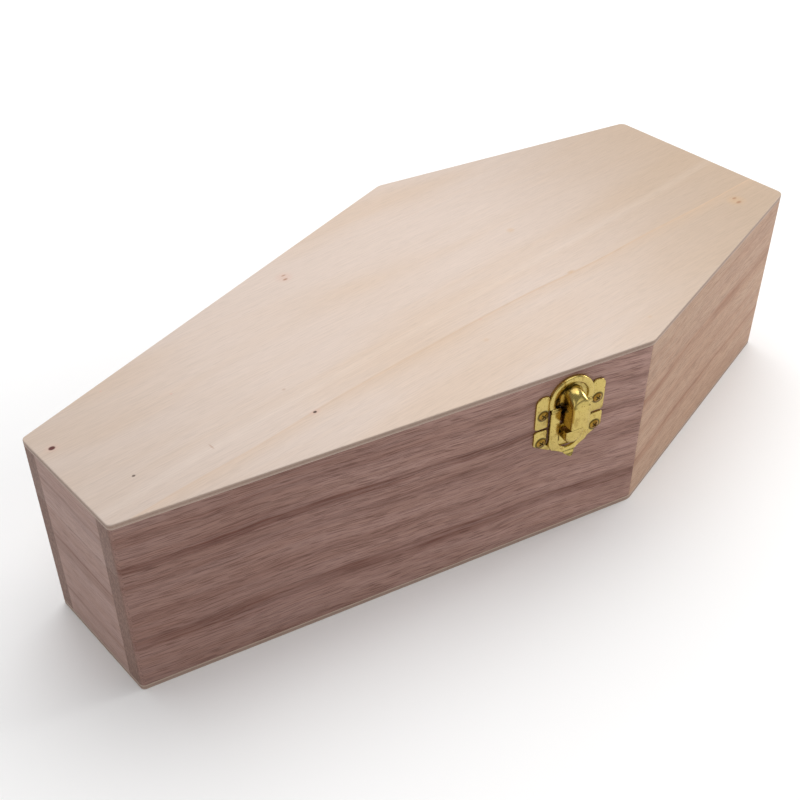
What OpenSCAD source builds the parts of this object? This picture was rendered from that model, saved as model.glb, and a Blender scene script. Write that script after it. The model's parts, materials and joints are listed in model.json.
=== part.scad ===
// Small coffin-shaped wooden box with a hinged lid and a brass hasp latch.
// Frame: the origin is under the middle of the box, +X points to the head end,
// -Y to the long side with the latch, +Z up. All sizes are in millimetres.

/* [Coffin] */
// Length from the foot end to the head end
coffin_l = 300; // [260:1:360]
// Width across the foot end
foot_w = 50; // [40:1:60]
// Width across the shoulders
shoulder_w = 141.5; // [120:0.5:170]
// Width across the head end
head_w = 83; // [68:1:100]
// Distance from the foot end to the shoulders
shoulder_d = 183; // [152:1:220]
// Height of the closed box
box_h = 73.5; // [61:0.5:90]
// Depth of the lid, from its top down to the seam
lid_h = 22; // [21:0.5:26.5]

/* [Boards] */
// Thickness of the side, foot and head boards
wall = 7; // [5.8:0.1:8.4]
// Thickness of the plywood top and bottom panels
panel = 2; // [1.6:0.1:2.4]
// Radius of the two sanded corners at the foot
foot_r = 1.8; // [1:0.2:4]
// Radius of the two sanded corners at the head
head_r = 3; // [2:0.5:5]
// Radius of the two sanded shoulder corners
shoulder_r = 6; // [4:0.5:14]

/* [Latch] */
// Distance of the latch's middle from the foot end, along the front long board
latch_x = 156; // [130:0.5:158]
// Thickness of the stamped brass plates
plate_t = 0.8; // [0.6:0.1:1]
// Height of the pressed-up round top of the lid plate
arch_h = 1.4; // [1.1:0.1:1.6]
// Overall width of the two latch plates
latch_w = 27.4; // [26.8:0.1:29]
// Distance of the latch screws from the latch's middle line
latch_screw_x = 10.8; // [10.5:0.1:11]
// Radius of the lid plate's round top
arch_r = 8.9; // [8.6:0.1:9.2]
// Width of the hood and of the catch under it
hood_w = 7; // [6:0.1:7.4]
// Height of the hood's flat face above the board
hood_h = 7.2; // [5.8:0.1:7.4]
// Height of the catch above the board
catch_h = 4.8; // [4:0.1:5.6]
// Overall width of the swinging hasp
hasp_w = 16.2; // [15.6:0.1:16.4]
// Width of the hasp's window
window_w = 8.8; // [8.4:0.1:9.4]
// Radius of the hasp's hinge pin
hasp_pin_r = 0.5; // [0.4:0.05:0.6]

/* [Hinges] */
// Distances of the two hinges from the foot end, along the back long board
hinge_xs = [42, 146];
// Length of a hinge along its pin
hinge_l = 18; // [15:0.5:21]
// Width of one hinge leaf, from the pin outwards
leaf_w = 8.4; // [7.5:0.1:10]
// Radius of the hinge barrel
barrel_r = 1.4; // [1.3:0.05:1.5]
// Radius of the hinge pin
hinge_pin_r = 0.6; // [0.5:0.05:0.7]

/* [Screws] */
// Radius of a latch screw's head
latch_head_r = 1.95; // [1.7:0.05:2.1]
// Radius of a hinge screw's head
hinge_head_r = 1.5; // [1.3:0.05:1.7]
// Radius of every screw's shank
shank_r = 0.8; // [0.7:0.05:0.9]
// Length of every screw from its head down
screw_l = 5.2; // [4.4:0.1:5.4]

/* [Clearances] */
// Radial clearance of a turning knuckle on its pin
pin_gap = 0.05; // [0.03:0.01:0.08]
// Gap between a moving brass piece and its neighbour
run_gap = 0.15; // [0.1:0.01:0.2]

/* [Hidden] */
$fn = 48;

wood = [0.80, 0.70, 0.60];
brass = [0.82, 0.70, 0.36];
FRONT = -1;
BACK = 1;
LID = 1;
BOX = -1;

// Heights of the seam between lid and box, and of the boards' ends at the panels
seam_z = box_h - lid_h;
lid_boards = [seam_z, box_h - panel];
box_boards = [panel, seam_z];

// Outline corners of the +Y half, and how far its two sides lean from the X axis
foot_c = [-coffin_l / 2, foot_w / 2];
shoulder_c = [-coffin_l / 2 + shoulder_d, shoulder_w / 2];
head_c = [coffin_l / 2, head_w / 2];
long_lean = atan2(shoulder_c.y - foot_c.y, shoulder_c.x - foot_c.x);
short_lean = atan2(head_c.y - shoulder_c.y, head_c.x - shoulder_c.x);
mitre_turn = (long_lean + short_lean) / 2;

// Latch: heights up from the seam
ear_inner = arch_r - 0.3;
ear_top = 13.9;
ear_bottom = 0.5;
ear_r = 2.6;
arch_z = 10.1;
hasp_axis_z = 7;
hasp_axis_h = 1.15;
knuckle_r = 0.95;
arch_bottom = hasp_axis_z + knuckle_r + run_gap;
hood_top = 16.5;
hood_bottom = 1.5;
hood_skin = 0.7;
skirt_r = 6.3;
skirt_h = 5;
box_plate_top = -0.4;
box_ear_bottom = -7;
box_plate_bottom = -10.2;
box_plate_foot = 7.5;
slot_x = [7.6, ear_inner];
slot_bottom = -7.6;
catch_top = -1.2;
catch_bottom = -7.4;
catch_round = 1.3;
window_z = -6.3;
hasp_h = plate_t + run_gap;
flare_z = -10.2;
flare_r = 3.2;
flare_turn = 68;
tip_z = -13.3;
tip_w = 5.6;
lid_screw_z = 6.2;
box_screw_z = -5.6;

// Hinges: barrel centre off the board, knuckles along the pin, leaf clear of the barrel
barrel_h = barrel_r + 0.1;
knuckles = 5;
knuckle_l = hinge_l / knuckles;
leaf_start = barrel_r + 0.25;
leaf_screw_z = (leaf_start + leaf_w) / 2;
leaf_screw_x = hinge_l / 2 - 3.6;
hinge_head_h = 0.3;
latch_head_h = 0.6;

// ---------------------------------------------------------------- outline

// Unit direction at an angle in degrees
function along(angle) = [cos(angle), sin(angle)];

// A point mirrored to the -Y side
function flipped(p) = [p.x, -p.y];

// Points of the arc that rounds corner p, met along direction a_in and left along a_out
function rounded(p, a_in, a_out, r) =
    let (
        turn = a_out - a_in,
        reach = r * tan(abs(turn) / 2),
        start = p - reach * along(a_in),
        side = sign(turn),
        centre = start + r * along(a_in + side * 90),
        // an odd number, so no point of the arc falls on the joint between two boards
        steps = 2 * floor(abs(turn) / 9) + 1
    )
    [for (i = [0:steps]) centre + r * along(a_in - side * 90 + turn * i / steps)];

// The +Y half of the outline, from the foot end round to the head end
function half_outline() = concat(
    rounded(foot_c, 90, long_lean, foot_r),
    rounded(shoulder_c, long_lean, short_lean, shoulder_r),
    rounded(head_c, short_lean, -90, head_r)
);

module outline() {
    half = half_outline();
    mirrored = [for (i = [len(half) - 1:-1:0]) flipped(half[i])];
    polygon(concat(half, mirrored));
}

// Everything on the inner side of a line through p that runs at an angle
module inside_line(p, angle, inset = 0) {
    far = 2 * coffin_l;
    translate(p) rotate(angle) translate([-far, -far - inset]) square([2 * far, far]);
}

// Side boards of the +Y half: the ring outside the inner faces, parted at the mitre
module side_ring() {
    difference() {
        outline();
        intersection() {
            inside_line(foot_c, long_lean, wall);
            inside_line(shoulder_c, short_lean, wall);
        }
    }
}

module long_board_plan() {
    intersection() {
        side_ring();
        inside_line(shoulder_c, mitre_turn - 90);
        translate([-coffin_l, 0]) square([2 * coffin_l, coffin_l]);
    }
}

module short_board_plan() {
    intersection() {
        side_ring();
        inside_line(shoulder_c, mitre_turn + 90);
        translate([-coffin_l, 0]) square([2 * coffin_l, coffin_l]);
    }
}

// Foot and head boards fit between the side boards
module end_board_plan(end) {
    intersection() {
        outline();
        inside_line(foot_c, long_lean, wall);
        inside_line(shoulder_c, short_lean, wall);
        mirror([0, 1]) inside_line(foot_c, long_lean, wall);
        mirror([0, 1]) inside_line(shoulder_c, short_lean, wall);
        translate([end * (coffin_l - wall) / 2, 0]) square([wall, coffin_l], center = true);
    }
}

// ------------------------------------------------------------------ places

// Local frame on a long board: x along it from the foot, y outwards, z up from the seam
module on_long_board(side, x) {
    if (side == BACK)
        translate([foot_c.x, foot_c.y, seam_z]) rotate(long_lean) translate([x, 0, 0]) children();
    else
        mirror([0, 1, 0]) on_long_board(BACK, x) children();
}

// A flat shape drawn as (x, z), from y0 to y1 off the board
module plate(y0, y1) {
    translate([0, y1, 0]) rotate([90, 0, 0]) linear_extrude(y1 - y0) children();
}

// A side profile drawn as (y, z), over a width along x
module profile(width) {
    rotate([90, 0, 90]) translate([0, 0, -width / 2]) linear_extrude(width) children();
}

// A round bar or hole that stands out of the board
module peg(r, y0, y1) {
    translate([0, y0, 0]) rotate([-90, 0, 0]) cylinder(r = r, h = y1 - y0);
}

module at_latch_screw(half, end) {
    z = half == LID ? lid_screw_z : box_screw_z;
    on_long_board(FRONT, latch_x + end * latch_screw_x) translate([0, 0, z]) children();
}

module at_hinge_screw(hinge, half, end) {
    on_long_board(BACK, hinge_xs[hinge] + end * leaf_screw_x)
        translate([0, 0, half * leaf_screw_z]) children();
}

// ------------------------------------------------------------------ boards

module pilot_hole() {
    peg(shank_r, -screw_l, 1);
}

module side_board(side, z_range) {
    color(wood)
        mirror([0, side == FRONT ? 1 : 0, 0])
            translate([0, 0, z_range[0]]) linear_extrude(z_range[1] - z_range[0]) children();
}

module front_long_board(half, z_range) {
    difference() {
        side_board(FRONT, z_range) long_board_plan();
        for (end = [-1, 1]) at_latch_screw(half, end) pilot_hole();
    }
}

module back_long_board(half, z_range) {
    difference() {
        side_board(BACK, z_range) long_board_plan();
        for (hinge = [0, 1], end = [-1, 1]) at_hinge_screw(hinge, half, end) pilot_hole();
    }
}

module end_board(end, z_range) {
    color(wood)
        translate([0, 0, z_range[0]]) linear_extrude(z_range[1] - z_range[0]) end_board_plan(end);
}

module ply_panel(z) {
    color(wood) translate([0, 0, z]) linear_extrude(panel) outline();
}

// ------------------------------------------------------------------- latch

// A rectangle with its own radius at each corner: low left, low right, high right, high left
module soft_rectangle(low, high, radii) {
    polygon(concat(
        rounded(low, -90, 0, radii[0]),
        rounded([high.x, low.y], 0, 90, radii[1]),
        rounded(high, 90, 180, radii[2]),
        rounded([low.x, high.y], 180, 270, radii[3])
    ));
}

module ears_plan() {
    for (side = [0, 1]) mirror([side, 0])
        soft_rectangle([ear_inner, ear_bottom], [latch_w / 2, ear_top], [0.5, 1, ear_r, 1.2]);
    translate([-ear_inner - 0.5, arch_bottom])
        square([2 * ear_inner + 1, ear_top - arch_bottom - 2]);
}

module arch_plan() {
    intersection() {
        translate([0, arch_z]) circle(arch_r);
        translate([-arch_r, arch_bottom]) square([2 * arch_r, lid_h]);
    }
}

// The flare that joins the hood to the round top
module hood_skirt() {
    intersection() {
        translate([0, plate_t, arch_z]) rotate([-90, 0, 0])
            cylinder(r1 = skirt_r, r2 = hood_w / 2, h = skirt_h - plate_t);
        plate(0, hood_h) arch_plan();
    }
}

// Side profile of the hood, as (y, z): a rounded shoulder above a flat face
module hood_profile(inset) {
    top = hood_top - inset;
    face = hood_h - inset;
    low = hood_bottom + inset;
    shoulder = 4.2;
    polygon(concat(
        [[0, low], [face, low]],
        [for (a = [0:9:81]) [
            face - shoulder * (1 - cos(a)),
            top - shoulder + shoulder * sin(a)
        ]],
        [[face - shoulder, top], [0, top]]
    ));
}

module hood_solid(inset) {
    intersection() {
        profile(hood_w - 2 * inset) hood_profile(inset);
        plate(0, hood_h) intersection() {
            r = hood_w / 2 - inset;
            union() {
                translate([0, hood_top - inset - r]) circle(r);
                translate([-r, hood_bottom]) square([2 * r, hood_top - hood_bottom - inset - r]);
            }
        }
    }
}

module latch_lid_plate() {
    color(brass) on_long_board(FRONT, latch_x) difference() {
        union() {
            plate(0, plate_t) ears_plan();
            plate(0, arch_h) arch_plan();
            hood_skirt();
            hood_solid(0);
        }
        translate([0, -0.01, 0]) hood_solid(hood_skin);
        translate([0, hasp_axis_h, hasp_axis_z])
            rotate([0, 90, 0]) cylinder(r = hasp_pin_r, h = 2 * hasp_w, center = true);
        for (end = [-1, 1])
            translate([end * latch_screw_x, 0, lid_screw_z]) peg(shank_r, -1, plate_t + 1);
    }
}

module box_plate_plan() {
    corner = latch_w / 2;
    difference() {
        polygon(concat(
            rounded([-corner, box_plate_top], 90, 0, 1),
            rounded([corner, box_plate_top], 0, -90, 1),
            rounded([corner, box_ear_bottom], -90, -150, 1.2),
            [[box_plate_foot, box_plate_bottom], [-box_plate_foot, box_plate_bottom]],
            rounded([-corner, box_ear_bottom], 150, 90, 1.2)
        ));
        for (side = [0, 1]) mirror([side, 0])
            soft_rectangle([slot_x[0], slot_bottom], [slot_x[1], 1], [0.45, 0.45, 0.1, 0.1]);
    }
}

// Side profile of the catch, as (y, z): a flat face with both of its ends rounded
module catch_profile(inset) {
    soft_rectangle(
        [0, catch_bottom + inset], [catch_h - inset, catch_top - inset],
        [0.01, catch_round, catch_round, 0.01]
    );
}

module catch_solid(inset) {
    intersection() {
        profile(hood_w - 2 * inset) catch_profile(inset);
        plate(0, catch_h) union() {
            r = hood_w / 2 - inset;
            translate([0, catch_bottom + inset + r]) circle(r);
            translate([-r, catch_bottom + inset + r]) square([2 * r, -catch_bottom]);
        }
    }
}

module latch_box_plate() {
    color(brass) on_long_board(FRONT, latch_x) difference() {
        union() {
            plate(0, plate_t) box_plate_plan();
            catch_solid(0);
        }
        translate([0, -0.01, 0]) catch_solid(hood_skin);
        for (end = [-1, 1])
            translate([end * latch_screw_x, 0, box_screw_z]) peg(shank_r, -1, plate_t + 1);
    }
}

// Plan of the hasp, as (x, z): a U with a pointed, rounded lower end
module hasp_plan() {
    half = hasp_w / 2;
    difference() {
        polygon(concat(
            [[-half, hasp_axis_z], [-half, -6.6], [-half + 0.35, -8.4], [-half + 1.2, -9.9]],
            [for (a = [215:14:325]) [0, tip_z + tip_w / 2] + tip_w / 2 * along(a)],
            [[half - 1.2, -9.9], [half - 0.35, -8.4], [half, -6.6], [half, hasp_axis_z]]
        ));
        translate([0, window_z]) circle(window_w / 2);
        translate([-window_w / 2, window_z]) square([window_w, lid_h]);
    }
}

// Side profile of the hasp, as (y, z): straight down, then flaring out to the finger tip
module hasp_profile() {
    bend = [hasp_h + plate_t + flare_r, flare_z];
    polygon(concat(
        [[hasp_h, hasp_axis_z], [hasp_h + plate_t, hasp_axis_z]],
        [for (a = [0:flare_turn / 8:flare_turn]) bend - flare_r * along(a)],
        [for (a = [flare_turn:-flare_turn / 8:0]) bend - (flare_r + plate_t) * along(a)]
    ));
}

module latch_hasp() {
    half = hasp_w / 2;
    eye_l = (hasp_w - window_w) / 2;
    color(brass) on_long_board(FRONT, latch_x) difference() {
        union() {
            intersection() {
                profile(hasp_w) hasp_profile();
                plate(0, hood_h) hasp_plan();
            }
            for (side = [-1, 1])
                translate([side * (half - eye_l / 2), hasp_axis_h, hasp_axis_z])
                    rotate([0, 90, 0]) cylinder(r = knuckle_r, h = eye_l, center = true);
        }
        translate([0, hasp_axis_h, hasp_axis_z])
            rotate([0, 90, 0]) cylinder(r = hasp_pin_r + pin_gap, h = 2 * hasp_w, center = true);
    }
}

module latch_hasp_pin() {
    color(brass) on_long_board(FRONT, latch_x) translate([0, hasp_axis_h, hasp_axis_z])
        rotate([0, 90, 0]) cylinder(r = hasp_pin_r, h = hasp_w, center = true);
}

// ------------------------------------------------------------------ screws

// A screw on a plate: a low domed head with a cross recess, and its shank in the board
module screw(head_r, head_h) {
    ball = (head_r * head_r + head_h * head_h) / (2 * head_h);
    arm = head_r * 0.55;
    color(brass) difference() {
        union() {
            intersection() {
                peg(head_r, plate_t, plate_t + head_h);
                translate([0, plate_t + head_h - ball, 0]) sphere(ball);
            }
            peg(shank_r, -screw_l, plate_t);
        }
        for (turn = [45, 135]) rotate([0, turn, 0])
            translate([-arm, plate_t + head_h * 0.35, -0.25]) cube([2 * arm, head_h, 0.5]);
    }
}

module latch_screw(half, end) {
    at_latch_screw(half, end) screw(latch_head_r, latch_head_h);
}

module hinge_screw(hinge, half, end) {
    at_hinge_screw(hinge, half, end) screw(hinge_head_r, hinge_head_h);
}

// ------------------------------------------------------------------ hinges

// One hinge leaf. The box leaf holds knuckles 0, 2 and 4, the lid leaf 1 and 3
module leaf(hinge, half) {
    first = half == BOX ? 0 : 1;
    bore = hinge_pin_r + (half == LID ? pin_gap : 0);
    color(brass) on_long_board(BACK, hinge_xs[hinge]) difference() {
        union() {
            mirror([0, 0, half == BOX ? 1 : 0])
                plate(0, plate_t)
                    soft_rectangle([-hinge_l / 2, leaf_start], [hinge_l / 2, leaf_w], [0.2, 0.2, 1, 1]);
            for (k = [first:2:knuckles - 1])
                translate([-hinge_l / 2 + knuckle_l * (k + 0.5), 0, 0]) {
                    long = knuckle_l - run_gap;
                    translate([0, barrel_h, 0]) rotate([0, 90, 0])
                        cylinder(r = barrel_r, h = long, center = true);
                    mirror([0, 0, half == BOX ? 1 : 0])
                        translate([-long / 2, barrel_h - barrel_r, 0])
                            cube([long, plate_t - barrel_h + barrel_r, leaf_start + 0.5]);
                }
        }
        translate([0, barrel_h, 0]) rotate([0, 90, 0])
            cylinder(r = bore, h = 2 * hinge_l, center = true);
        for (end = [-1, 1])
            translate([end * leaf_screw_x, 0, half * leaf_screw_z]) peg(shank_r, -1, plate_t + 1);
    }
}

module hinge_pin(hinge) {
    color(brass) on_long_board(BACK, hinge_xs[hinge]) translate([0, barrel_h, 0])
        rotate([0, 90, 0]) cylinder(r = hinge_pin_r, h = hinge_l, center = true);
}

// ------------------------------------------------------------------- nodes

ply_panel(box_h - panel);  // lid_top_panel
front_long_board(LID, lid_boards);  // lid_front_long_board
side_board(FRONT, lid_boards) short_board_plan();  // lid_front_short_board
end_board(1, lid_boards);  // lid_head_board
side_board(BACK, lid_boards) short_board_plan();  // lid_back_short_board
back_long_board(LID, lid_boards);  // lid_back_long_board
end_board(-1, lid_boards);  // lid_foot_board
ply_panel(0);  // box_bottom_panel
front_long_board(BOX, box_boards);  // box_front_long_board
side_board(FRONT, box_boards) short_board_plan();  // box_front_short_board
end_board(1, box_boards);  // box_head_board
side_board(BACK, box_boards) short_board_plan();  // box_back_short_board
back_long_board(BOX, box_boards);  // box_back_long_board
end_board(-1, box_boards);  // box_foot_board
latch_lid_plate();
latch_box_plate();
latch_hasp();
latch_hasp_pin();
latch_screw(LID, -1);  // latch_screw_lid_foot
latch_screw(LID, 1);  // latch_screw_lid_head
latch_screw(BOX, -1);  // latch_screw_box_foot
latch_screw(BOX, 1);  // latch_screw_box_head
leaf(0, LID);  // hinge_foot_lid_leaf
leaf(0, BOX);  // hinge_foot_box_leaf
hinge_pin(0);  // hinge_foot_pin
leaf(1, LID);  // hinge_head_lid_leaf
leaf(1, BOX);  // hinge_head_box_leaf
hinge_pin(1);  // hinge_head_pin
hinge_screw(0, LID, -1);  // hinge_foot_screw_lid_a
hinge_screw(0, LID, 1);  // hinge_foot_screw_lid_b
hinge_screw(0, BOX, -1);  // hinge_foot_screw_box_a
hinge_screw(0, BOX, 1);  // hinge_foot_screw_box_b
hinge_screw(1, LID, -1);  // hinge_head_screw_lid_a
hinge_screw(1, LID, 1);  // hinge_head_screw_lid_b
hinge_screw(1, BOX, -1);  // hinge_head_screw_box_a
hinge_screw(1, BOX, 1);  // hinge_head_screw_box_b
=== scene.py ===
"""A small coffin-shaped wooden box with a hinged lid and a brass hasp latch, finished for rendering.

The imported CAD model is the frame: X runs from the foot end to the head end, -Y is the side with the
latch, Z is up, and every length is in metres. The latch is modelled on its own flat frame: u runs along
the front long board towards the head, h stands off the board and w is the height above the seam. Those
three are in millimetres.
"""
import json
import math

import bmesh
import bpy
from mathutils import Matrix, Vector


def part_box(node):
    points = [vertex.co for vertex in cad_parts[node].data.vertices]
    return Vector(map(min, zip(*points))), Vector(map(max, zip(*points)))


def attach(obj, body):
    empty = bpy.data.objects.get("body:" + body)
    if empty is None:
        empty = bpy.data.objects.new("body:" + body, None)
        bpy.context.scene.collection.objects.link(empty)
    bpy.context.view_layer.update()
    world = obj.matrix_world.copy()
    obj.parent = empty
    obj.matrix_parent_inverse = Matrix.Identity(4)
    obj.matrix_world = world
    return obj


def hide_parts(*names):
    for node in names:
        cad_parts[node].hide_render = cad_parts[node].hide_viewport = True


MM = 0.001

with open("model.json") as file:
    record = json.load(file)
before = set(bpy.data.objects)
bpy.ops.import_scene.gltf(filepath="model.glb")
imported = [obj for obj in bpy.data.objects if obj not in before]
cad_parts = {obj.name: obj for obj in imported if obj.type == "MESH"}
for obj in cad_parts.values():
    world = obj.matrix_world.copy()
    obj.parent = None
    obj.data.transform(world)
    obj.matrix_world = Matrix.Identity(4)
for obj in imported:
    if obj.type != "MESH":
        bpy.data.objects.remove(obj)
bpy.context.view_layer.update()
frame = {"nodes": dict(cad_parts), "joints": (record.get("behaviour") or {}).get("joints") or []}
nodes = frame["nodes"]
joints = {joint["name"]: joint for joint in frame["joints"]}

# ---------------------------------------------------------------- sizes, read from the frame

TOP_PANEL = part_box("lid_top_panel")
BOTTOM_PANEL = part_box("box_bottom_panel")
LID_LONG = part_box("lid_front_long_board")
BOX_H = TOP_PANEL[1].z
PANEL = TOP_PANEL[1].z - TOP_PANEL[0].z
SEAM_Z = LID_LONG[0].z
FOOT_X = TOP_PANEL[0].x
HEAD_X = TOP_PANEL[1].x
LATCH_AXIS = joints["hasp_hinge"]["axis"]
LATCH_PLACE = joints["hasp_hinge"]["pos_m"]
LEAN = math.atan2(abs(LATCH_AXIS[1]), abs(LATCH_AXIS[0]))
SHOULDER_X = LID_LONG[1].x / MM
ALONG = -Vector(LATCH_AXIS)
OUT = Vector((-math.sin(LEAN), -math.cos(LEAN), 0))

# The latch's sizes in its own frame, in millimetres, as in the CAD model. U is half a width, H a height
# off the board, W a level above the seam and R a radius.
PIN_H, PIN_W = 1.15, (LATCH_PLACE[2] - SEAM_Z) / MM
HASP_U, HASP_H, WINDOW_U, WINDOW_W = 8.1, 0.95, 4.4, -6.3
FLARE_W, FLARE_R, TIP_W, TIP_R = -10.2, 3.2, -13.3, 2.8
PLATE_U, PLATE_H = 13.7, 0.8
EAR_IN, EAR_LOW, EAR_TOP = 8.6, 0.5, 13.9
ARCH_W, ARCH_CUT = 10.1, 8.1
HOOD_U, HOOD_H, HOOD_LOW, HOOD_CREASE = 3.5, 7.2, 1.5, 10.3
CATCH_H, CATCH_TOP, CATCH_LOW = 4.8, -1.2, -7.4
BOX_PLATE_TOP = -0.4
SCREW_U, SCREW_W = 10.8, (6.2, -5.6)

# How far the rims of the latch's parts are rounded, in millimetres
HOOD_BROW, HOOD_ROUND, HOOD_DRAWN_IN = 0.65, 0.7, 0.55
CATCH_ROUND, CATCH_DRAWN_IN, CATCH_SLOPE_H, CATCH_SLOPE_W = 0.6, 0.5, 2.2, 2.0

# The camera and the light, in metres, with the lens in millimetres
CAMERA_PLACE = (-0.2471, -0.2563, 0.3115)
CAMERA_AIM = (-0.02175, -0.00378, 0.03668)
CAMERA_LENS = 53.95
LIGHT_AIM = (0, 0, 0.03)
WORLD_STRENGTH = 0.3
FLOOR_HALF = 4.0

# How far sanding has rounded the edges at the seam, round the top and round the bottom, in metres
SEAM_SOFT, TOP_SOFT, FOOT_SOFT = 0.12 * MM, 0.3 * MM, 0.25 * MM

# Colours are linear, and sizes along, across and into the wood are in millimetres
END_GRAIN = ((0.19, 0.108, 0.083), (0.29, 0.178, 0.142))
PORE_INK = (0.06, 0.02, 0.015)
FIBRE_SIZE = (32, 0.42, 0.42)
PORE_SIZE = (5.5, 0.17, 0.17)
FIBRE_TONE = 0.15
# a warm painted reflection of the wood in the latch's hollows, with a little brown tarnish
WARM_REFLECTION_AND_TARNISH = (0.37, 0.225, 0.04)
# a dark colour laid as painted shade in the latch's hollows and the screws' crevices
PAINTED_SHADE = (0.035, 0.022, 0.006)


def on_latch(u, h, w):
    """The world point at u, h, w of the latch's own frame."""
    return Vector(LATCH_PLACE) + (ALONG * u + OUT * (h - PIN_H) + Vector((0, 0, w - PIN_W))) * MM


# ---------------------------------------------------------------- camera, floor and lights

def look_at(obj, target):
    obj.rotation_mode = "QUATERNION"
    obj.rotation_quaternion = (Vector(target) - obj.location).to_track_quat("-Z", "Y")


def make_camera():
    data = bpy.data.cameras.new("camera")
    data.sensor_width = 36
    data.lens = CAMERA_LENS
    camera = bpy.data.objects.new("camera", data)
    bpy.context.scene.collection.objects.link(camera)
    camera.location = CAMERA_PLACE
    look_at(camera, CAMERA_AIM)
    bpy.context.scene.camera = camera


def area_light(name, place, size, watts, colour=(1, 1, 1)):
    data = bpy.data.lights.new(name, "AREA")
    data.shape = "RECTANGLE"
    data.size, data.size_y = size
    data.energy = watts
    data.color = colour
    light = bpy.data.objects.new(name, data)
    bpy.context.scene.collection.objects.link(light)
    light.location = place
    look_at(light, LIGHT_AIM)


def make_studio():
    area_light("overhead softbox", (0.45, 0.45, 1.6), (2.0, 2.0), 30)
    area_light("right softbox", (1.5, -0.45, 0.45), (0.6, 0.6), 9.5, (1.0, 0.985, 0.96))
    area_light("left card", (-1.6, -0.6, 0.7), (1.0, 1.2), 4.0, (0.97, 0.98, 1.0))
    area_light("front card", (0.1, -1.7, 0.9), (1.6, 0.9), 3.2)
    world = bpy.data.worlds.new("studio")
    bpy.context.scene.world = world
    world.use_nodes = True
    background = world.node_tree.nodes["Background"]
    background.inputs["Color"].default_value = rgb(1, 1, 1)
    background.inputs["Strength"].default_value = WORLD_STRENGTH
    bpy.context.scene.view_settings.view_transform = "Standard"


def make_floor(material):
    mesh = bpy.data.meshes.new("floor")
    signs = ((-1, -1), (1, -1), (1, 1), (-1, 1))
    corners = [(FLOOR_HALF * x, FLOOR_HALF * y, 0) for x, y in signs]
    mesh.from_pydata(corners, [], [(0, 1, 2, 3)])
    mesh.materials.append(material)
    floor = bpy.data.objects.new("floor", mesh)
    bpy.context.scene.collection.objects.link(floor)


# ---------------------------------------------------------------- node helpers

class Shader:
    """A material's node tree, with short calls for the nodes that the finishes use."""

    def __init__(self, name):
        self.material = bpy.data.materials.new(name)
        self.material.use_nodes = True
        self.tree = self.material.node_tree
        self.bsdf = self.tree.nodes["Principled BSDF"]

    def put(self, socket, value):
        if isinstance(value, bpy.types.NodeSocket):
            self.tree.links.new(value, socket)
        else:
            socket.default_value = value

    def node(self, kind, inputs=(), **settings):
        made = self.tree.nodes.new(kind)
        for key, value in settings.items():
            setattr(made, key, value)
        for key, value in dict(inputs).items():
            self.put(made.inputs[key], value)
        return made

    def set(self, **values):
        """Puts plain values or sockets on the surface, by the socket's name with _ for spaces."""
        for key, value in values.items():
            self.put(self.bsdf.inputs[key.replace("_", " ")], value)
        return self.material

    def math(self, operation, a, b=0.0, c=0.0):
        return self.node("ShaderNodeMath", {0: a, 1: b, 2: c}, operation=operation).outputs[0]

    def add(self, *values):
        total = values[0]
        for value in values[1:]:
            total = self.math("ADD", total, value)
        return total

    def times(self, *values):
        total = values[0]
        for value in values[1:]:
            total = self.math("MULTIPLY", total, value)
        return total

    def point(self, turn=0.0):
        """Object coordinates in millimetres, turned about Z so that X runs along a slanted board."""
        point = self.node("ShaderNodeTexCoord").outputs["Object"]
        settings = {"Vector": point, "Rotation": (0, 0, turn), "Scale": (1 / MM, 1 / MM, 1 / MM)}
        return self.node("ShaderNodeMapping", settings).outputs[0]

    def axes(self, point):
        return self.node("ShaderNodeSeparateXYZ", {0: point}).outputs

    def join(self, x, y, z):
        return self.node("ShaderNodeCombineXYZ", {0: x, 1: y, 2: z}).outputs[0]

    def noise(self, point, size, detail=2.0, roughness=0.5, shift=(0, 0, 0)):
        """Noise from 0 to 1 whose features measure about size, three lengths in millimetres."""
        scale = tuple(1 / length for length in size)
        mapping = {"Vector": point, "Scale": scale, "Location": shift}
        moved = self.node("ShaderNodeMapping", mapping).outputs[0]
        settings = {"Vector": moved, "Scale": 1.0, "Detail": detail, "Roughness": roughness}
        return self.node("ShaderNodeTexNoise", settings).outputs["Fac"]

    def ramp(self, value, low, high, to_low=0.0, to_high=1.0):
        """to_low where value is low, passing smoothly to to_high where it is high."""
        limits = {"From Min": low, "From Max": high, "To Min": to_low, "To Max": to_high}
        settings = {"Value": value, **limits}
        return self.node("ShaderNodeMapRange", settings, interpolation_type="SMOOTHSTEP").outputs[0]

    def hump(self, value, width):
        """1 where value is 0, falling smoothly to 0 at width either side."""
        return self.ramp(self.math("ABSOLUTE", value), 0.0, width, 1.0, 0.0)

    def wobble(self, point, size, reach, detail=1.0, roughness=0.5, shift=(0, 0, 0)):
        """Noise about 0 that strays by up to half of reach either way."""
        return self.times(self.add(self.noise(point, size, detail, roughness, shift), -0.5), reach)

    def shade(self, colour, tone):
        """The colour made lighter or darker by one factor."""
        return self.mix(1.0, colour, self.join(tone, tone, tone), "MULTIPLY")

    def mix(self, amount, first, second, blend="MIX"):
        made = self.node("ShaderNodeMix", data_type="RGBA", blend_type=blend)
        self.put(made.inputs["Factor"], amount)
        colours = [socket for socket in made.inputs if socket.type == "RGBA"]
        self.put(colours[0], first)
        self.put(colours[1], second)
        return next(socket for socket in made.outputs if socket.type == "RGBA")

    def bump(self, height, distance, strength=1.0):
        settings = {"Height": height, "Strength": strength, "Distance": distance * MM}
        return self.node("ShaderNodeBump", settings).outputs[0]


def rgb(red, green, blue):
    return (red, green, blue, 1.0)


def length_of(shader, a, b):
    """The length of the flat vector (a, b)."""
    return shader.math("SQRT", shader.add(shader.times(a, a), shader.times(b, b)))


# ---------------------------------------------------------------- wood

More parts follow.
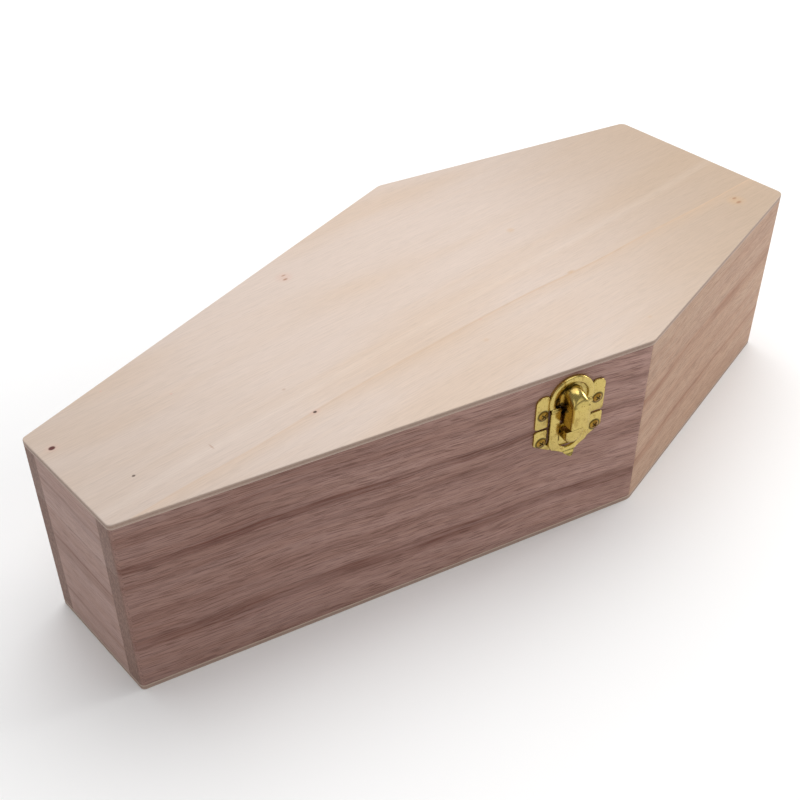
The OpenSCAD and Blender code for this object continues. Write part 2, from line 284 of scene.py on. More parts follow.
def grain(shader, along, across, deep, seed):
    """Fibres and pores of a board: (fibre brightness, pore mask), both from 0 to 1."""
    point = shader.join(along, across, deep)
    fibres = shader.noise(point, FIBRE_SIZE, 4.0, 0.7, (seed, 0, 0))
    pores = shader.noise(point, PORE_SIZE, 0.0, 0.5, (0, seed, 0))
    return fibres, shader.ramp(pores, 0.55, 0.66)


def tinted(colour, red, green, blue):
    """A colour with each channel multiplied by its own factor."""
    return rgb(colour[0] * red, colour[1] * green, colour[2] * blue)


def add_streaks(shader, amount, streaks, point, level, frayed, seed):
    """amount with the named streaks added: ragged lines that fade in and out along the board."""
    x = shader.axes(point)[0]
    for number, (place, width, strength) in enumerate(streaks):
        ragged = shader.wobble(point, (38, 30, 2.2), 1.5 * width, 3.0, 0.6, (number, seed, 0))
        line = shader.add(level, -place, ragged)
        fades = shader.noise(shader.join(x, 0.0, 0.0), (42, 1, 1), 1.0, 0.5, (number + seed, 0, 0))
        core = shader.times(shader.hump(line, width), 0.6)
        glow = shader.times(shader.hump(line, 2.2 * width), 0.4)
        shade = shader.times(shader.add(core, glow), shader.ramp(fades, 0.35, 0.6, 0.4, 1.0), frayed)
        amount = shader.add(amount, shader.times(shade, strength))
    return amount


def with_end_grain(shader, wood, end_x):
    """The wood's colour, with speckled end grain on the face at end_x."""
    point = shader.point()
    speckle = shader.noise(point, (0.7, 0.7, 1.3), 3.0, 0.65)
    end = shader.mix(shader.ramp(speckle, 0.3, 0.7), rgb(*END_GRAIN[0]), rgb(*END_GRAIN[1]))
    from_end = shader.add(shader.axes(point)[0], -end_x / MM)
    at_end = shader.ramp(shader.math("ABSOLUTE", from_end), 0.05, 0.4, 1.0, 0.0)
    return shader.mix(at_end, wood, end)


def board_finish(name, turn, colours, slope, streaks, seed, contrast=1.0, end_x=None):
    """Raw sanded board, with broad tones, named streaks, fibres and pores along it.

    colours are the foot end's, the head end's and the streaks'. streaks are (depth below the lid's top
    at the board's middle, half width, strength), in millimetres.
    """
    near, far, dark = (rgb(*colour) for colour in colours)
    tawny = tinted(colours[0], 0.98, 0.9, 0.82)
    shader = Shader(name)
    point = shader.point(turn)
    x, y, z = shader.axes(point)
    depth = shader.math("SUBTRACT", BOX_H / MM, z)
    wander = shader.wobble(shader.join(x, y, 0.0), (60, 40, 1), 6.0, shift=(seed, seed, 0))
    ripple = shader.wobble(shader.join(x, y, depth), (17, 40, 9), 1.5, shift=(0, seed, 0))
    level = shader.add(depth, shader.times(x, -slope), wander, ripple)
    grained = shader.join(x, y, level)
    fibres, pores = grain(shader, x, y, level, seed)
    tones = shader.noise(grained, (150, 60, 12), 1.0, 0.5, (seed, 3, 0))
    threads = shader.noise(grained, (45, 20, 1.7), 3.0, 0.6, (0, seed, 5))
    amount = shader.add(
        shader.ramp(tones, 0.4, 0.75, 0.0, 0.32 * contrast),
        shader.ramp(threads, 0.48, 0.78, 0.0, 0.34 * contrast),
    )
    frayed = shader.ramp(fibres, 0.3, 0.62, 0.4, 1.15)
    amount = add_streaks(shader, amount, streaks, point, level, frayed, seed)
    # painted light: the colour lightens from the foot end to the shoulder, as the light along the board
    # does
    pale = shader.mix(shader.ramp(x, FOOT_X / MM, SHOULDER_X, 0.0, 1.0), near, far)
    patches = shader.noise(grained, (28, 20, 4), 2.0, 0.6, (9, seed, 2))
    pale = shader.mix(shader.ramp(patches, 0.35, 0.65, 0.0, 0.5 * contrast), pale, tawny)
    wood = shader.mix(shader.math("MINIMUM", amount, 1.0), pale, dark)
    tone = FIBRE_TONE * contrast
    wood = shader.shade(wood, shader.ramp(fibres, 0.25, 0.75, 1.0 - tone, 1.0 + tone))
    ink = shader.mix(0.55, dark, rgb(*PORE_INK))
    wood = shader.mix(shader.times(pores, 0.55 * contrast), wood, ink)
    if end_x is not None:
        wood = with_end_grain(shader, wood, end_x)
    height = shader.add(shader.times(fibres, 0.6), shader.times(pores, -0.8))
    return shader.set(
        Base_Color=wood,
        Roughness=shader.ramp(fibres, 0.2, 0.8, 0.52, 0.68),
        Specular_IOR_Level=0.25,
        Normal=shader.bump(height, 0.05, 0.6),
    )


def spot(shader, x, y, place, size, core):
    """A knot or speck: 1 inside core times its size, fading to 0 at its rim."""
    dx = shader.times(shader.add(x, -place[0]), 1 / size[0])
    dy = shader.times(shader.add(y, -place[1]), 1 / size[1])
    return shader.ramp(length_of(shader, dx, dy), core, 1.0, 1.0, 0.0)


RED, DOT = (0.09, 0.010, 0.010), (0.06, 0.03, 0.02)
BROWN, PINK, TAN = (0.36, 0.17, 0.09), (0.66, 0.42, 0.34), (0.62, 0.40, 0.22)

# Knots and specks of the top, in millimetres: (x, y) from the middle, half sizes, the share of them
# that is solid, colour and strength
SPECKS = (
    ((-145.2, 14.8), (3.4, 2.8), 0.1, PINK, 0.35),
    ((-145.2, 14.8), (1.35, 1.05), 0.55, RED, 0.95),
    ((-75.6, -24.4), (3.0, 1.6), 0.1, PINK, 0.5),
    ((-75.6, -24.4), (0.85, 0.65), 0.5, DOT, 0.95),
    ((-133.4, -12.0), (0.75, 0.6), 0.4, DOT, 0.85),
    ((-109.0, -16.5), (0.45, 1.9), 0.3, BROWN, 0.4),
    ((-76.0, -9.0), (0.9, 0.7), 0.3, BROWN, 0.3),
    ((-104.0, 13.0), (0.7, 0.6), 0.3, PINK, 0.6),
    ((-120.0, 29.0), (0.7, 0.5), 0.3, PINK, 0.6),
    ((-36.4, 42.6), (4.6, 4.2), 0.1, PINK, 0.38),
    ((-36.9, 41.2), (1.5, 0.75), 0.2, BROWN, 0.8),
    ((-35.9, 43.6), (1.4, 0.6), 0.2, BROWN, 0.65),
    ((48.0, 11.0), (2.4, 2.0), 0.2, TAN, 0.35),
    ((-9.0, -33.0), (1.8, 1.4), 0.2, TAN, 0.25),
    ((-2.0, -23.2), (1.2, 0.7), 0.2, PINK, 0.5),
    ((43.4, -23.8), (2.6, 1.0), 0.2, TAN, 0.5),
    ((42.6, -61.0), (1.4, 0.9), 0.2, TAN, 0.3),
    ((131.0, -32.6), (5.5, 5.0), 0.1, TAN, 0.45),
    ((131.8, -31.2), (1.6, 0.9), 0.2, BROWN, 0.7),
    ((130.6, -34.2), (2.0, 1.0), 0.2, BROWN, 0.75),
)


def add_brown_line(shader, veneer, x, across):
    """The veneer with the top's bowed brown line, the glow beside it and a paler band."""
    lift = shader.times(shader.hump(shader.add(x, 28.0), 95.0), 3.2)
    bend = shader.times(shader.hump(shader.add(x, -75.0), 70.0), 1.4)
    line = shader.add(across, 26.5, shader.times(lift, -1.0), shader.times(bend, -1.0))
    core = shader.times(shader.hump(line, 0.8), shader.ramp(x, -120.0, 60.0, 0.12, 0.4))
    below = shader.ramp(line, -7.0, 0.0, 0.0, 1.0)
    glow = shader.times(below, shader.ramp(line, 0.0, 0.6, 1.0, 0.0), 0.32)
    veneer = shader.mix(shader.add(core, glow), veneer, rgb(0.62, 0.44, 0.30))
    pale = shader.add(across, 12.5, shader.times(x, -0.05))
    return shader.mix(shader.times(shader.hump(pale, 3.0), 0.1), veneer, rgb(0.86, 0.76, 0.68))


def with_ply_edges(shader, veneer, point, low_z):
    """The veneer's colour, with the plies seen from the side: face, cross-grained core, face."""
    thick = PANEL / MM
    height = shader.add(shader.axes(point)[2], -low_z / MM)
    core_band = shader.hump(shader.add(height, -0.5 * thick), 0.62)
    streaks = shader.noise(point, (0.7, 0.7, 0.25), 2.0, 0.6)
    dark, light = rgb(0.27, 0.185, 0.145), rgb(0.38, 0.27, 0.21)
    core_wood = shader.mix(shader.ramp(streaks, 0.3, 0.7), dark, light)
    plies = shader.mix(core_band, rgb(0.42, 0.31, 0.25), core_wood)
    above_foot = shader.ramp(height, 0.05, 0.12)
    below_top = shader.ramp(height, thick - 0.3, thick - 0.14, 1.0, 0.0)
    return shader.mix(shader.times(above_foot, below_top), veneer, plies)


def ply_finish(name, low_z, face_colour, specks=()):
    """Thin plywood: a pale veneer on both faces and the plies' edges round the rim.

    A panel with specks also has the brown line.
    """
    shader = Shader(name)
    point = shader.point()
    x, y, z = shader.axes(point)
    across = shader.add(y, shader.wobble(shader.join(x, y, 0.0), (90, 45, 1), 7.0, shift=(4, 9, 0)))
    clouds = shader.noise(shader.join(x, across, z), (120, 26, 40), 3.0, 0.5, (2, 0, 0))
    bands = shader.noise(shader.join(x, across, z), (210, 5.5, 9), 2.0, 0.5, (0, 6, 0))
    warm = tinted(face_colour, 0.97, 0.91, 0.82)
    veneer = shader.mix(shader.ramp(clouds, 0.35, 0.7, 0.0, 0.75), rgb(*face_colour), warm)
    veneer = shader.mix(shader.ramp(bands, 0.5, 0.8, 0.0, 0.35), veneer, warm)
    # the veneer turns yellower towards the head end, and painted shade makes it duller towards both ends
    honey = tinted(face_colour, 0.86, 0.77, 0.63)
    headward = shader.add(x, shader.times(y, -0.5))
    veneer = shader.mix(shader.ramp(headward, 20.0, 175.0, 0.0, 0.85), veneer, honey)
    from_middle = shader.math("ABSOLUTE", shader.add(x, 20.0))
    veneer = shader.shade(veneer, shader.ramp(from_middle, 30.0, 150.0, 1.0, 0.87))
    if specks:
        veneer = add_brown_line(shader, veneer, x, across)
    for place, size, core, colour, strength in specks:
        amount = shader.times(spot(shader, x, y, place, size, core), strength)
        veneer = shader.mix(amount, veneer, rgb(*colour))
    fibres, pores = grain(shader, x, y, z, 7)
    fibre_tone = shader.ramp(fibres, 0.25, 0.75, 0.945, 1.045)
    pore_tone = shader.ramp(pores, 0.0, 1.0, 1.0, 0.93)
    veneer = shader.shade(veneer, shader.times(fibre_tone, pore_tone))
    return shader.set(
        Base_Color=with_ply_edges(shader, veneer, point, low_z),
        Roughness=shader.ramp(fibres, 0.2, 0.8, 0.5, 0.62),
        Specular_IOR_Level=0.3,
        Normal=shader.bump(shader.add(fibres, shader.times(pores, -0.6)), 0.02, 0.5),
    )


# ---------------------------------------------------------------- brass

def brass_finish(name, colour, tarnish, amount, roughness, painted_shade=None, warm=None, seed=0.0):
    """Thin brass plating: fine pits, cloudy tarnish and a slightly uneven, hand-polished face.

    The two optional functions give how much painted shade and how much warm painted reflection
    (with some brown tarnish) lie at a point.
    """
    shader = Shader(name)
    point = shader.point()
    clouds = shader.noise(point, (3.2, 3.2, 3.2), 3.0, 0.6, (seed, 0, 0))
    specks = shader.noise(point, (0.45, 0.45, 0.45), 1.0, 0.5, (0, seed, 0))
    waves = shader.noise(point, (1.6, 1.6, 1.6), 1.0, 0.4, (0, 0, seed))
    pits = shader.ramp(specks, 0.64, 0.71)
    dull = shader.math("MINIMUM", shader.add(
        shader.ramp(clouds, 0.48, 0.72, 0.0, amount),
        shader.times(pits, 0.9),
    ), 1.0)
    metal = shader.mix(dull, rgb(*colour), rgb(*tarnish))
    # a warm painted reflection of the wood, with some brown tarnish
    if warm:
        metal = shader.mix(warm(shader), metal, rgb(*WARM_REFLECTION_AND_TARNISH))
    # painted shade in hollows and crevices
    if painted_shade:
        metal = shader.mix(painted_shade(shader), metal, rgb(*PAINTED_SHADE))
    height = shader.add(waves, shader.times(pits, -0.12))
    return shader.set(
        Base_Color=metal,
        Metallic=1.0,
        Roughness=shader.ramp(dull, 0.0, 1.0, roughness, roughness + 0.22),
        Normal=shader.bump(height, 0.1, 0.3),
    )


def latch_axes(shader):
    """The latch's own u, h and w of the point being shaded."""
    x, y, z = shader.axes(shader.point(LEAN))
    origin = on_latch(0, 0, 0) / MM
    turned = Matrix.Rotation(LEAN, 3, "Z") @ origin
    u = shader.add(x, -turned.x)
    h = shader.times(shader.add(y, -turned.y), -1.0)
    w = shader.add(z, -origin.z)
    return u, h, w


def latch_painted_shade(shader):
    """Painted shade and dark reflections: in the hood's groove, down its foot-end wall, round the screw
    heads.
    """
    u, h, w = latch_axes(shader)
    ragged = shader.add(shader.noise(shader.point(), (2.2, 2.2, 2.2), 2.0, 0.6), -0.5)
    from_arch = length_of(shader, u, shader.add(w, -ARCH_W))
    # painted shade in the groove round the hood, stronger on the foot-end side
    left = shader.ramp(u, -2.0, 3.0, 1.0, 0.3)
    groove = shader.hump(shader.add(from_arch, -5.9, shader.times(ragged, 2.5)), 1.4)
    groove = shader.times(groove, shader.ramp(h, 1.3, 1.42, 1.0, 0.0), left)
    # the hood's wall, above the arch's cut inside the round recess and below it close to the hood
    above_cut = shader.ramp(w, ARCH_CUT - 0.2, ARCH_CUT + 0.1)
    below_cut = shader.ramp(w, ARCH_CUT - 0.2, ARCH_CUT + 0.1, 1.0, 0.0)
    inside = shader.times(shader.ramp(from_arch, 6.2, 6.5, 1.0, 0.0), above_cut)
    near_hood = shader.ramp(shader.math("ABSOLUTE", u), HOOD_U + 0.4, HOOD_U + 0.6, 1.0, 0.0)
    low_wall = shader.times(below_cut, near_hood)
    side = shader.ramp(u, -HOOD_U + 0.2, -HOOD_U - 0.05)
    # painted dark reflections and shade on the hood's foot-end wall: ragged blotches, fading higher up,
    # and a star-shaped patch
    blotches = shader.ramp(shader.add(ragged, shader.times(h, -0.045)), -0.09, 0.06)
    blotches = shader.times(blotches, shader.ramp(h, 3.2, 5.6, 1.0, 0.0))
    star = shader.add(spot(shader, w, h, (7.6, 1.6), (4.0, 4.6), 0.0), shader.times(ragged, 1.5))
    dark = shader.math("MAXIMUM", blotches, shader.ramp(star, 0.3, 0.5))
    wall = shader.times(shader.add(inside, low_wall), side, dark)
    # painted shade round each screw head
    ring = shader.times(shader.hump(shader.add(from_screw(shader, u, w), -2.1), 0.42), 0.8)
    return shader.math("MINIMUM", shader.add(groove, wall, ring), 0.95)


def latch_reflection_and_tarnish(shader):
    """Painted warm reflection in the recess and down the hood's side, brown tarnish at the plate's
    head-side foot.
    """
    u, _, w = latch_axes(shader)
    from_arch = length_of(shader, u, shader.add(w, -ARCH_W))
    # the recess and the hood's side get a warm painted reflection of the wood; the foot spot is tarnish
    recess = shader.times(shader.ramp(from_arch, 5.9, 6.5, 1.0, 0.0), shader.ramp(u, -2.6, -3.3))
    side = shader.times(shader.ramp(u, -3.15, -3.45), shader.ramp(u, -4.2, -3.9))
    wall = shader.times(side, shader.ramp(w, -7.6, -7.2), 0.8)
    foot = shader.times(spot(shader, u, w, (13.0, -6.0), (4.5, 3.5), 0.1), 0.7)
    return shader.math("MINIMUM", shader.add(recess, wall, foot), 1.0)


def from_screw(shader, u, w):
    """Distance from the nearest latch screw's axis."""
    du = shader.add(shader.math("ABSOLUTE", u), -SCREW_U)
    dw = [shader.math("ABSOLUTE", shader.add(w, -place)) for place in SCREW_W]
    return length_of(shader, du, shader.math("MINIMUM", *dw))


def screw_painted_shade(shader):
    """Painted shade in a latch screw's cross and round its rim."""
    u, h, w = latch_axes(shader)
    away = from_screw(shader, u, w)
    rim = shader.ramp(away, 1.5, 1.85, 0.0, 0.8)
    dip = shader.times(shader.ramp(away, 1.0, 1.3, 1.0, 0.0), shader.ramp(h, 1.1, 1.25, 0.95, 0.2))
    return shader.math("MAXIMUM", rim, dip)


# ---------------------------------------------------------------- meshes

def add_piece(name, mesh, body, material, replaced, angle=32):
    mesh.materials.append(material)
    mesh.shade_smooth()
    mesh.set_sharp_from_angle(angle=math.radians(angle))
    piece = bpy.data.objects.new(name, mesh)
    bpy.context.scene.collection.objects.link(piece)
    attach(piece, body)
    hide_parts(*replaced)
    return piece


def mesh_from(name, build):
    """A mesh made by build(bm), with its faces turned outwards."""
    bm = bmesh.new()
    build(bm)
    bmesh.ops.recalc_face_normals(bm, faces=bm.faces)
    mesh = bpy.data.meshes.new(name)
    bm.to_mesh(mesh)
    bm.free()
    return mesh


def softened(node_name, radius, picked):
    """A CAD node's shape with its picked sharp edges rounded, as light sanding leaves them."""
    source = nodes[node_name].data
    points = [vertex.co.copy() for vertex in source.vertices]
    faces = [tuple(face.vertices) for face in source.polygons]

    def build(bm):
        verts = [bm.verts.new(point) for point in points]
        for face in faces:
            bm.faces.new([verts[i] for i in face])
        bmesh.ops.remove_doubles(bm, verts=bm.verts, dist=1e-7)
        bmesh.ops.dissolve_limit(bm, angle_limit=math.radians(0.5), verts=bm.verts, edges=bm.edges)
        sharp = [
            edge for edge in bm.edges
            if len(edge.link_faces) == 2 and edge.calc_face_angle(0) > math.radians(35) and picked(edge)
        ]
        bmesh.ops.bevel(bm, geom=sharp, offset=radius, segments=3, profile=0.5, affect="EDGES")

    return mesh_from(node_name + "_finished", build)


def level_edge(edge, z):
    """True for an edge that lies flat at height z."""
    return all(abs(vertex.co.z - z) < 1e-6 for vertex in edge.verts)


# ---------------------------------------------------------------- the wooden box

def make_wood():
    # each set is the foot end's, the head end's and the streaks' colour; a lighter head end is painted
    # light
    mauve = ((0.325, 0.196, 0.164), (0.455, 0.28, 0.235), (0.155, 0.060, 0.042))
    tan = ((0.485, 0.315, 0.232), (0.51, 0.34, 0.24), (0.35, 0.18, 0.115))
    grey = ((0.435, 0.29, 0.25), (0.435, 0.29, 0.25), (0.26, 0.145, 0.115))
    long_streaks = (
        (23.6, 1.7, 0.7), (22.9, 0.45, 0.6), (24.9, 0.5, 0.45), (56.5, 3.2, 0.6), (55.0, 0.5, 0.35),
        (58.6, 0.6, 0.35), (12.0, 1.8, 0.4), (11.2, 0.4, 0.3), (31.0, 0.8, 0.3), (44.0, 0.7, 0.25),
    )
    short_streaks = (
        (27.0, 3.2, 0.75), (25.6, 0.5, 0.5), (53.5, 0.9, 0.9), (55.5, 2.4, 0.35), (9.0, 1.0, 0.3),
        (64.0, 1.0, 0.35), (40.0, 1.5, 0.25),
    )
    foot_streaks = (
        (10.5, 0.8, 0.95), (13.5, 1.6, 0.3), (35.0, 0.9, 1.0), (38.0, 2.0, 0.35), (60.0, 0.9, 0.9),
    )
    across = math.pi / 2
    # each board's turn, colours, slope of its grain, streaks, seed, contrast and end grain, if it has any
    boards = {
        "front_long": (LEAN, mauve, 0.036, long_streaks, 1.3, 1.0, FOOT_X),
        "front_short": (-LEAN, tan, -0.012, short_streaks, 5.1, 0.8, HEAD_X),
        "back_long": (-LEAN, mauve, -0.02, foot_streaks, 8.7, 0.9, FOOT_X),
        "back_short": (LEAN, tan, 0.02, long_streaks, 11.9, 0.6, HEAD_X),
        "foot": (across, grey, 0.03, foot_streaks, 15.2, 0.75),
        "head": (across, tan, 0.02, short_streaks, 21.4, 0.75),
    }
    finishes = {}
    for side, settings in boards.items():
        finishes[side] = board_finish(side.replace("_", " ") + " board", *settings)
    for part in ("lid", "box"):
        for side, finish in finishes.items():
            name = f"{part}_{side}_board"
            mesh = softened(name, SEAM_SOFT, lambda edge: level_edge(edge, SEAM_Z))
            add_piece(name + "_wood", mesh, part, finish, [name])
    top = ply_finish("top ply", TOP_PANEL[0].z, (0.68, 0.56, 0.485), SPECKS)
    bottom = ply_finish("bottom ply", BOTTOM_PANEL[0].z, (0.66, 0.53, 0.43))
    mesh = softened("lid_top_panel", TOP_SOFT, lambda edge: level_edge(edge, BOX_H))
    add_piece("lid_top_panel_wood", mesh, "lid", top, ["lid_top_panel"])
    mesh = softened("box_bottom_panel", FOOT_SOFT, lambda edge: level_edge(edge, 0.0))
    add_piece("box_bottom_panel_wood", mesh, "box", bottom, ["box_bottom_panel"])


# ---------------------------------------------------------------- the latch

def corner(centre, radius, start, end, steps=5):
    """Points on an arc, from start to end in degrees."""
    angles = [math.radians(start + (end - start) * i / steps) for i in range(steps + 1)]
    return [(centre[0] + radius * math.cos(a), centre[1] + radius * math.sin(a)) for a in angles]


def both_sides(half):
    """A closed outline from its half on the +u side, taken in order from the top to the foot."""
    return half + [(-u, w) for u, w in reversed(half)]


def inward(outline, inset):
    """The outline moved in by a small inset; its points run clockwise or counterclockwise."""
    count = len(outline)
    area = sum(
        outline[i][0] * outline[(i + 1) % count][1] - outline[(i + 1) % count][0] * outline[i][1]
        for i in range(count)
    )
    turn = 1 if area > 0 else -1
    moved = []
    for i, point in enumerate(outline):
        before, after = Vector(outline[i - 1]), Vector(outline[(i + 1) % count])
        here = Vector(point)
        a = (here - before).normalized()
        b = (after - here).normalized()
        normal_a = Vector((-a.y, a.x)) * turn
        normal_b = Vector((-b.y, b.x)) * turn
        middle = (normal_a + normal_b).normalized()
        moved.append(tuple(here + middle * (inset / max(middle.dot(normal_a), 0.5))))
    return moved


def loft(bm, rings, closed=True):
    """Skins rings of (u, h, w) points and caps both ends; closed rings come back to their first point."""
    rows = [[bm.verts.new(on_latch(*point)) for point in ring] for ring in rings]
    count = len(rows[0])
    for low, high in zip(rows, rows[1:]):
        for i in range(count if closed else count - 1):
            j = (i + 1) % count
            bm.faces.new((low[i], low[j], high[j], high[i]))
    bm.faces.new(rows[0])
    bm.faces.new(rows[-1])
    if not closed:
        bm.faces.new([row[0] for row in rows] + [row[-1] for row in reversed(rows)])


def soft_plate(bm, outline, low, high, soft):
    """A flat plate over an outline of (u, w), with the rim of its face rounded."""
    rings = [[(u, low, w) for u, w in outline]]
    for angle in (0, 30, 60, 90):
        a = math.radians(angle)
        inset, drop = soft * (1 - math.cos(a)), soft * (1 - math.sin(a))
        rings.append([(u, high - drop, w) for u, w in inward(outline, inset)])
    loft(bm, rings)


def build_ears(bm):
    """The lid plate's two flat ears, each reaching a little way under the arch."""
    inner_r, outer_r, lower_r, under_arch = 1.2, 2.6, 1.0, EAR_IN - 0.7
    for side in (1, -1):
        half = (
            corner((EAR_IN + inner_r, EAR_TOP - inner_r), inner_r, 180, 90, 4)
            + corner((PLATE_U - outer_r, EAR_TOP - outer_r), outer_r, 90, 0, 7)
            + corner((PLATE_U - lower_r, EAR_LOW + lower_r), lower_r, 0, -90, 4)
            + [(EAR_IN, EAR_LOW), (EAR_IN, ARCH_CUT)]
            + [(under_arch, ARCH_CUT), (under_arch, EAR_TOP - outer_r)]
        )
        soft_plate(bm, [(side * u, w) for u, w in half], 0, PLATE_H, 0.22)


def build_arch(bm):
    """The raised round band, ending level at its lower edge."""
    profile = [(8.9, 0), (8.9, 1.0), (8.82, 1.2), (8.65, 1.34), (8.4, 1.4), (7.2, 1.4),
               (6.75, 1.36), (6.5, 1.24), (6.35, 1.05), (6.1, 0.85), (6.0, 0)]
    steps = 56
    rings = []
    for i in range(steps + 1):
        ring = []
        for radius, h in profile:
            dip = math.asin((ARCH_W - ARCH_CUT) / radius)
            angle = -dip + (math.pi + 2 * dip) * i / steps
            ring.append((radius * math.cos(angle), h, ARCH_W + radius * math.sin(angle)))
        rings.append(ring)
    loft(bm, rings)


def arc_over(half_width, centre_w, rise, steps):
    """Half an ellipse of (u, w) points from the -u side to the +u side; a negative rise hangs down."""
    angles = [math.pi * i / steps for i in range(steps + 1)]
    return [(-half_width * math.cos(a), centre_w + rise * math.sin(a)) for a in angles]


def hood_ring(h):
    """The hood's outline at height h: straight sides, a flare at its foot and a rounded top."""
    brow = HOOD_H - HOOD_BROW
    edge = max(0.0, (h - (HOOD_H - HOOD_ROUND)) / HOOD_ROUND)
    half = HOOD_U - HOOD_DRAWN_IN * (1 - math.sqrt(max(0.0, 1 - edge * edge)))
    if h <= PLATE_H:
        flare, top = 2.7, 16.3
    else:
        flare = 1.1 * math.exp(-(h - PLATE_H) / 0.6)
        dome = 11.0 + 4.4 * math.sqrt(1 - ((min(h, brow) - PLATE_H) / (brow - PLATE_H + 0.4)) ** 2)
        top = dome - (dome - HOOD_CREASE) * max(0.0, h - brow) / HOOD_BROW
    wide = half + flare
    rise = min(wide, 1.05 * (top - HOOD_CREASE) + 0.02)
    middle_w = 0.5 * (HOOD_LOW + ARCH_CUT)
    left = [(-half, HOOD_LOW), (-half, middle_w), (-half, ARCH_CUT), (-wide, ARCH_CUT)]
    ring = left + arc_over(wide, top - rise, rise, 28) + [(-u, w) for u, w in reversed(left)]

    def on_board(u, w):
        return h <= PLATE_H and abs(u) <= half + 1e-6 and w <= ARCH_CUT

    return [(u, 0.0 if on_board(u, w) else h, w) for u, w in ring]


def build_hood(bm):
    """Rings up the hood, closer together at its foot and where its rim turns."""
    steps = (
        0, 0.06, 0.25, 0.55, 1.0, 1.6, 2.3, 3.0, 3.7, 4.3,
        4.8, 5.2, 5.5, 5.75, 5.95, 6.12, 6.25, 6.34, 6.4,
    )
    loft(bm, [hood_ring(PLATE_H + step) for step in steps], closed=False)


def build_box_plate(bm):
    """The box plate's flat face, with a slot either side of the hasp."""
    slot_in, slot_out, slot_low, slot_r = 7.6, 8.6, -7.6, 0.3
    inner_r, outer_r, lower_r = 0.8, 1.0, 1.2
    half = (
        [(slot_in, BOX_PLATE_TOP), (slot_in, slot_low + slot_r), (slot_in + slot_r, slot_low)]
        + [(slot_out - slot_r, slot_low), (slot_out, slot_low + slot_r)]
        + corner((slot_out + inner_r, BOX_PLATE_TOP - inner_r), inner_r, 180, 90, 4)
        + corner((PLATE_U - outer_r, BOX_PLATE_TOP - outer_r), outer_r, 90, 0, 4)
        + corner((PLATE_U - lower_r, -5.8), lower_r, 0, -60, 5)
        + [(7.5, -10.2)]
    )
    soft_plate(bm, both_sides(half), 0, PLATE_H, 0.25)


def build_catch(bm):
    """The catch that the hasp's bar lies under: round at its lower end, with a rounded rim."""
    bend_w = -2.6
    rings = []
    for h in (0.5, 1.5, 2.6, 3.1, 3.5, 3.8, 4.1, 4.35, 4.55, 4.7, 4.77, 4.8):
        edge = max(0.0, (h - (CATCH_H - CATCH_ROUND)) / CATCH_ROUND)
        half = HOOD_U - CATCH_DRAWN_IN * (1 - math.sqrt(1 - min(1.0, edge * edge)))
        slope = max(0.0, (h - (CATCH_H - CATCH_SLOPE_H)) / CATCH_SLOPE_H)
        low = CATCH_LOW + CATCH_SLOPE_W * (1 - math.sqrt(1 - min(1.0, slope * slope)))
        sides = [(-half, CATCH_TOP), (-half, bend_w)]
        ring = sides + arc_over(half, low + half, -half, 24) + [(-u, w) for u, w in reversed(sides)]
        rings.append([(u, h, w) for u, w in ring])
    loft(bm, rings, closed=False)


def hasp_lift(w):
    """How far the hasp's finger tip stands out at w, beyond the flat strips."""
    reach = min(max(0.0, FLARE_W - w), 0.97 * FLARE_R)
    return FLARE_R - math.sqrt(FLARE_R * FLARE_R - reach * reach)


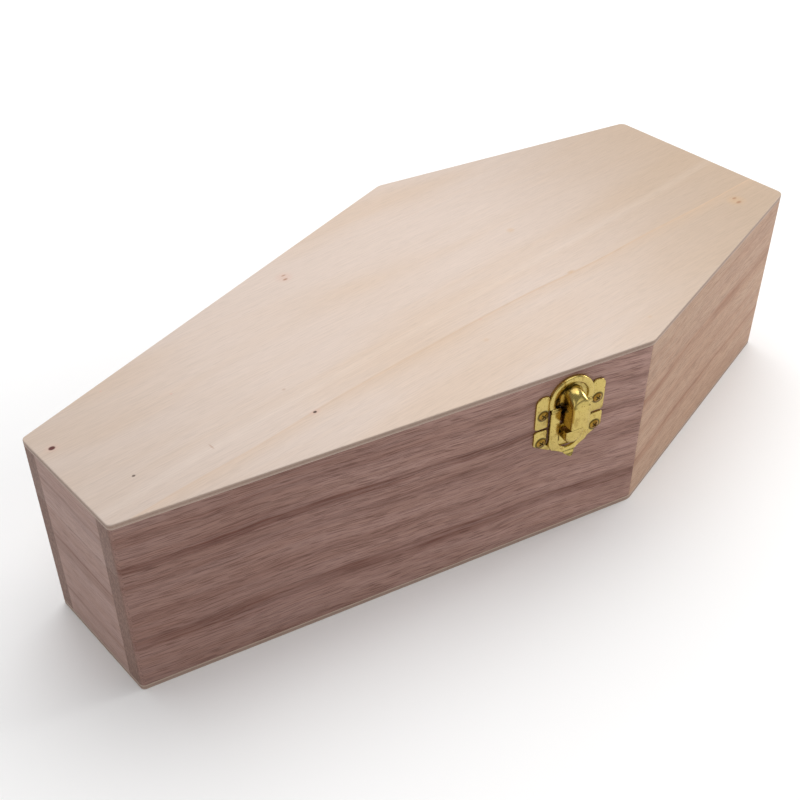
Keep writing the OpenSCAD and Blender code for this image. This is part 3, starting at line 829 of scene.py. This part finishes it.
def build_hasp(bm):
    """A U of sheet whose lower end flares out to a finger tip, with an eye at the top of each strip."""
    half = (
        [(WINDOW_U, PIN_W), (HASP_U - 0.4, PIN_W), (HASP_U, PIN_W - 0.4), (HASP_U, -6.6)]
        + [(HASP_U - 0.35, -8.4), (HASP_U - 1.2, -9.9)]
        + corner((0, TIP_W + TIP_R), TIP_R, -35, -90, 8)[:-1]
    )
    window = corner((0, WINDOW_W), WINDOW_U, 0, -180, 20)
    outline = (
        half + [(0, TIP_W)] + [(-u, w) for u, w in reversed(half)]
        + [(u, w) for u, w in reversed(window)]
    )
    soft_plate(bm, outline, HASP_H, HASP_H + PLATE_H, 0.24)
    # the sheet is cut across where it bends, then its lower end is lifted
    first_cut, cut_gap, cuts = FLARE_W + 0.3, 0.28, 13
    for i in range(cuts):
        everything = bm.verts[:] + bm.edges[:] + bm.faces[:]
        place = on_latch(0, 0, first_cut - cut_gap * i)
        bmesh.ops.bisect_plane(bm, geom=everything, plane_co=place, plane_no=(0, 0, 1))
    for vertex in bm.verts:
        vertex.co += OUT * hasp_lift((vertex.co.z - SEAM_Z) / MM) * MM
    rim, rim_r, eye_r, eye_steps = 0.15, 0.8, 0.95, 20
    turns = [2 * math.pi * i / eye_steps for i in range(eye_steps)]
    eye = ((WINDOW_U, rim_r), (WINDOW_U + rim, eye_r), (HASP_U - rim, eye_r), (HASP_U, rim_r))
    for side in (1, -1):
        rings = []
        for u, r in eye:
            rings.append([(side * u, PIN_H + r * math.cos(a), PIN_W + r * math.sin(a)) for a in turns])
        loft(bm, rings)


def make_latch():
    # the latch brass carries painted shade, painted dark reflections and a warm painted reflection
    brass = brass_finish(
        "latch brass", (0.57, 0.44, 0.14), (0.34, 0.225, 0.06), 0.65, 0.2, latch_painted_shade, latch_reflection_and_tarnish)
    pieces = (
        ("latch_lid_plate_ears", "latch_ears", build_ears, "lid", "latch_lid_plate"),
        ("latch_lid_plate_arch", "latch_arch", build_arch, "lid", "latch_lid_plate"),
        ("latch_lid_plate_hood", "latch_hood", build_hood, "lid", "latch_lid_plate"),
        ("latch_box_plate_face", "latch_box_face", build_box_plate, "box", "latch_box_plate"),
        ("latch_box_plate_catch", "latch_catch", build_catch, "box", "latch_box_plate"),
        ("latch_hasp_brass", "latch_hasp_brass", build_hasp, "hasp", "latch_hasp"),
    )
    for name, mesh_name, build, body, replaced in pieces:
        add_piece(name, mesh_from(mesh_name, build), body, brass, [replaced])
    return brass


def finish_fittings(latch_brass):
    """Gives the screws, the pins and the hinges, which keep their CAD shapes, their own brasses."""
    # the latch screws' brass carries painted shade in the cross and round the rim
    screws = brass_finish(
        "latch screw brass", (0.40, 0.235, 0.04), (0.26, 0.115, 0.02), 0.9, 0.28, screw_painted_shade, seed=3.0)
    plain = brass_finish("hinge brass", (0.62, 0.49, 0.17), (0.36, 0.24, 0.07), 0.45, 0.22, seed=6.0)
    plain_screws = brass_finish(
        "hinge screw brass", (0.48, 0.33, 0.10), (0.28, 0.16, 0.04), 0.7, 0.3, seed=9.0)
    for name, node in nodes.items():
        if name.startswith("latch_screw"):
            finish = screws
        elif name == "latch_hasp_pin":
            finish = latch_brass
        elif name.startswith("hinge"):
            finish = plain_screws if "screw" in name else plain
        else:
            continue
        node.data.materials.clear()
        node.data.materials.append(finish)


# ---------------------------------------------------------------- the scene

make_camera()
make_studio()
make_floor(Shader("pale floor").set(Base_Color=rgb(0.95, 0.95, 0.95), Roughness=0.9))
make_wood()
finish_fittings(make_latch())
